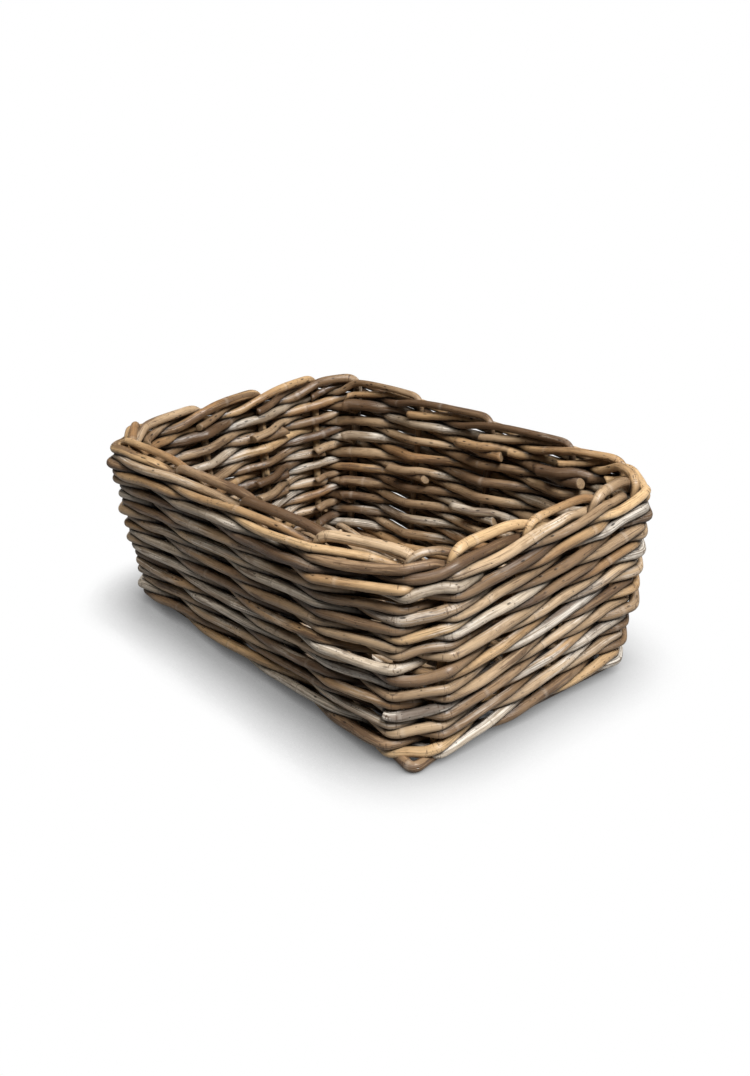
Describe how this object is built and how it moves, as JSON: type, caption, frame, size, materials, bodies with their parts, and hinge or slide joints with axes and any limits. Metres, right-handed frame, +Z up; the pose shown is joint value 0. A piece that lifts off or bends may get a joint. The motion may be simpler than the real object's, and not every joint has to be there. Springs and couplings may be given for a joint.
{
  "type": "storage basket",
  "caption": "Open rectangular storage basket woven from whole round rattan rods, with cut corners, flared walls and a rolled border.",
  "frame": {"origin": "on the ground under the middle of the basket", "axes": "+X along the basket's length, +Y across it towards the back wall, +Z up through the open top"},
  "size_m": [0.5159, 0.352, 0.2014],
  "materials": {
    "honey_rattan": "warm honey-coloured whole rattan with its satin skin, fine grain and brown node rings",
    "tan_rattan": "weathered tan whole rattan, satin, with dark specks and fine grain along the rod",
    "silver_rattan": "silver-grey weathered whole rattan, dry satin, streaked along the rod",
    "umber_rattan": "dark brown whole rattan with bark left on in places"
  },
  "bodies": {
    "root": {"stake_front_1": "honey_rattan", "stake_front_2": "umber_rattan", "stake_front_3": "umber_rattan", "stake_front_4": "tan_rattan", "stake_front_5": "tan_rattan", "stake_right_1": "honey_rattan", "stake_right_2": "honey_rattan", "stake_right_3": "tan_rattan", "stake_right_4": "honey_rattan", "stake_back_1": "honey_rattan", "stake_back_2": "umber_rattan", "stake_back_3": "umber_rattan", "stake_back_4": "tan_rattan", "stake_back_5": "tan_rattan", "stake_left_1": "honey_rattan", "stake_left_2": "honey_rattan", "stake_left_3": "tan_rattan", "stake_left_4": "honey_rattan", "wale_1_a": "honey_rattan", "wale_1_b": "silver_rattan", "wale_1_c": "umber_rattan", "wale_2_a": "tan_rattan", "wale_2_b": "tan_rattan", "wale_2_c": "tan_rattan", "wale_3_a": "honey_rattan", "wale_3_b": "silver_rattan", "wale_3_c": "umber_rattan", "wale_4_a": "tan_rattan", "wale_4_b": "tan_rattan", "wale_4_c": "tan_rattan", "wale_5_a": "honey_rattan", "wale_5_b": "silver_rattan", "wale_5_c": "umber_rattan", "wale_6_a": "tan_rattan", "wale_6_b": "tan_rattan", "wale_6_c": "tan_rattan", "wale_7_a": "honey_rattan", "wale_7_b": "silver_rattan", "wale_7_c": "umber_rattan", "wale_8_a": "tan_rattan", "wale_8_b": "tan_rattan", "wale_8_c": "tan_rattan", "wale_9_a": "honey_rattan", "wale_9_b": "silver_rattan", "wale_9_c": "umber_rattan", "base_frame": "tan_rattan", "base_stick_1": "tan_rattan", "base_stick_2": "tan_rattan", "base_stick_3": "tan_rattan", "base_stick_4": "tan_rattan", "base_stick_5": "tan_rattan", "base_weaver_1": "tan_rattan", "base_weaver_2": "tan_rattan", "base_weaver_3": "tan_rattan"}
  },
  "joints": []
}
